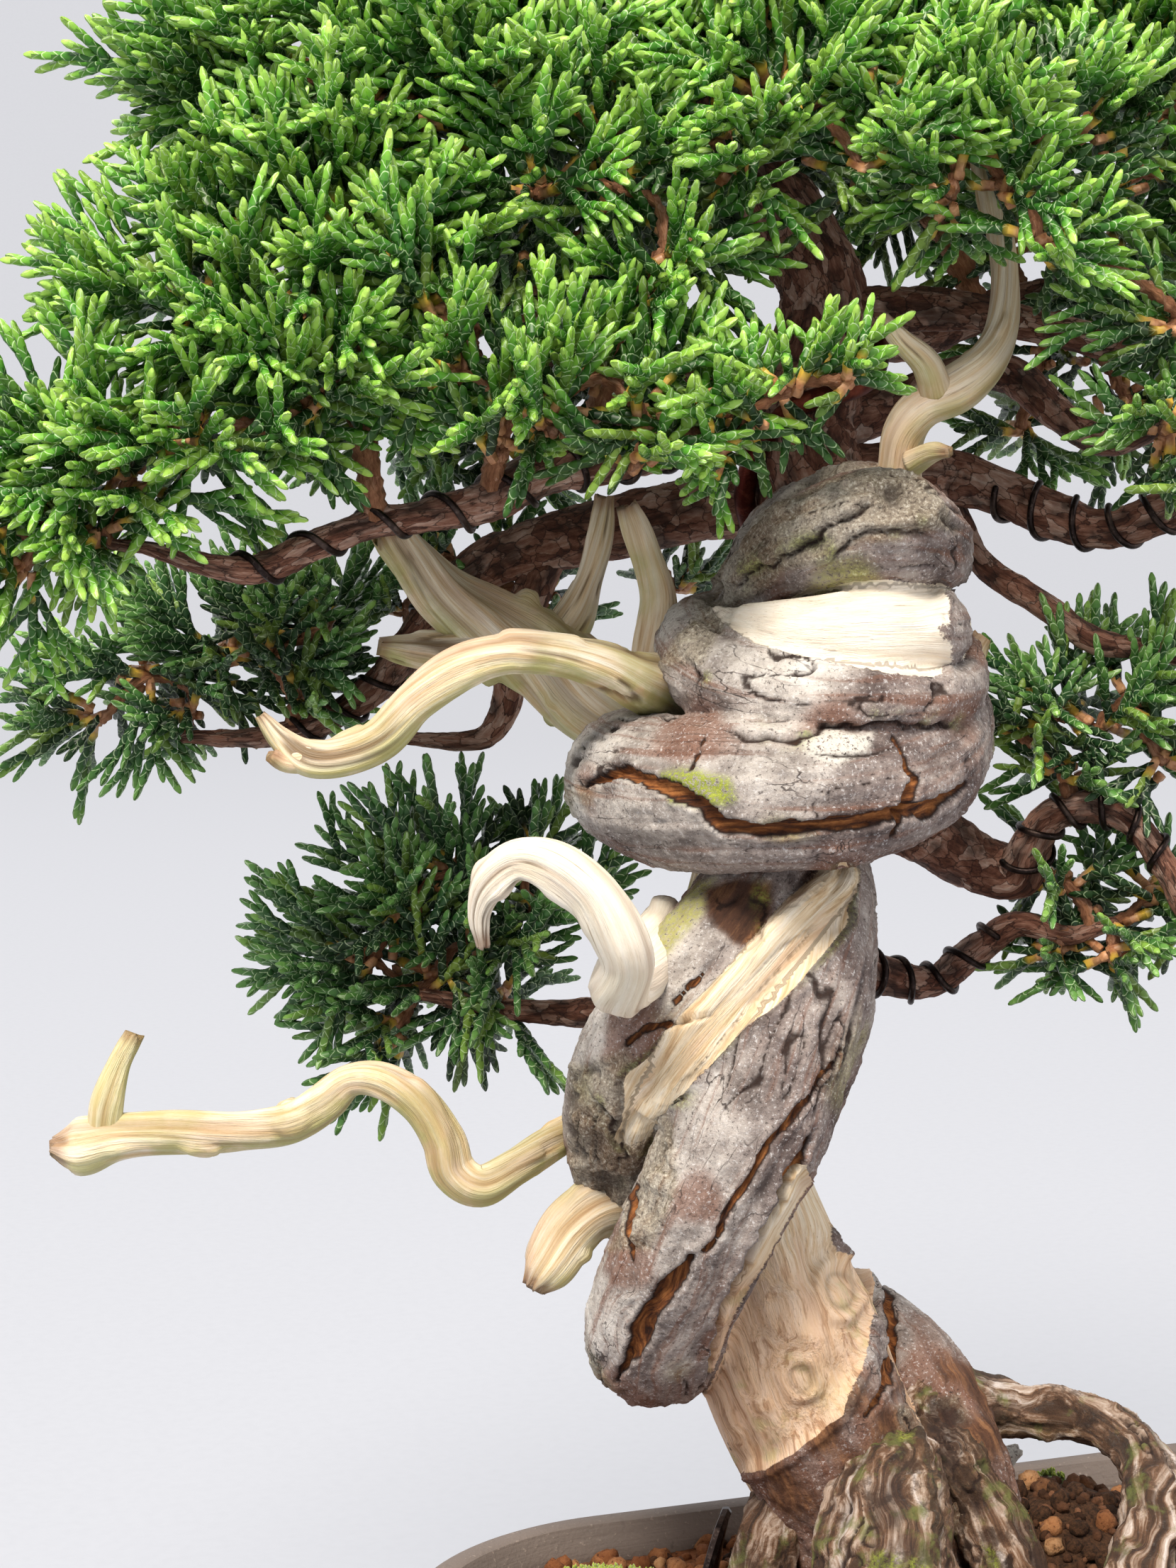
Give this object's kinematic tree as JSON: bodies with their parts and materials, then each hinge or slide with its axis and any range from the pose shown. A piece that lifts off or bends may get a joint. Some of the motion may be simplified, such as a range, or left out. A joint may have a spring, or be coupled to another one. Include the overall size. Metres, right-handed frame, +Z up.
{
  "type": "bonsai tree in a pot",
  "caption": "Twisted juniper bonsai with carved deadwood, wired branches and scale-leaf foliage pads, planted in a shallow rounded-corner pot.",
  "frame": {"origin": "middle of the pot's underside, on the surface that its bar feet stand on", "axes": "+Z up, +X along the pot's long side, -Y towards the pot's front; the tree's own front is turned 20 degrees from -Y"},
  "size_m": [0.2399, 0.1804, 0.3275],
  "materials": {
    "pot_clay": "unglazed dark grey-brown stoneware, fine satin grain",
    "akadama_soil": "dry porous clay granules and dark humus, matt",
    "trunk_wood": "grey-lilac flaky juniper bark with cream bleached deadwood, matt",
    "branch_bark": "red-brown flaking juniper bark, matt",
    "juniper_foliage": "scale-leaved cords, dark green with bright yellow-green tips, soft sheen",
    "moss": "short dry moss, matt",
    "mesh_plastic": "black plastic mesh",
    "copper_wire": "annealed copper wire, dark maroon-brown patina",
    "black_wire": "dark anodised training wire, satin"
  },
  "bodies": {
    "root": {"branch_back_left": "branch_bark", "branch_back_right": "branch_bark", "branch_left_back": "branch_bark", "branch_left_front": "branch_bark", "branch_left_sub": "branch_bark", "branch_low_left": "branch_bark", "branch_right_drop": "branch_bark", "branch_right_high": "branch_bark", "branch_right_low": "branch_bark", "branch_right_mid": "branch_bark", "branch_right_under": "branch_bark", "branch_right_up": "branch_bark", "copper_wire_trunk": "copper_wire", "drainage_mesh_left": "mesh_plastic", "drainage_mesh_right": "mesh_plastic", "foliage_apex": "juniper_foliage", "foliage_apex_left": "juniper_foliage", "foliage_apex_right": "juniper_foliage", "foliage_back_left": "juniper_foliage", "foliage_back_right": "juniper_foliage", "foliage_center_front": "juniper_foliage", "foliage_crown_back": "juniper_foliage", "foliage_left_front": "juniper_foliage", "foliage_left_top": "juniper_foliage", "foliage_left_upper": "juniper_foliage", "foliage_low_left_rear": "juniper_foliage", "foliage_mid_front": "juniper_foliage", "foliage_mid_left_rear": "juniper_foliage", "foliage_mid_tip": "juniper_foliage", "foliage_mid_upper": "juniper_foliage", "foliage_right_edge": "juniper_foliage", "foliage_right_front": "juniper_foliage", "foliage_right_low": "juniper_foliage", "foliage_right_mid": "juniper_foliage", "foliage_right_upper": "juniper_foliage", "foliage_small_rear": "juniper_foliage", "mesh_clip_left": "black_wire", "mesh_clip_right": "black_wire", "moss_front": "moss", "moss_left": "moss", "moss_right": "moss", "pot": "pot_clay", "soil": "akadama_soil", "tie_down_wire": "black_wire", "trunk": "trunk_wood", "wire_left_back": "black_wire", "wire_left_front": "black_wire", "wire_right_low": "black_wire", "wire_right_mid": "black_wire", "wire_right_under": "black_wire"}
  },
  "joints": []
}
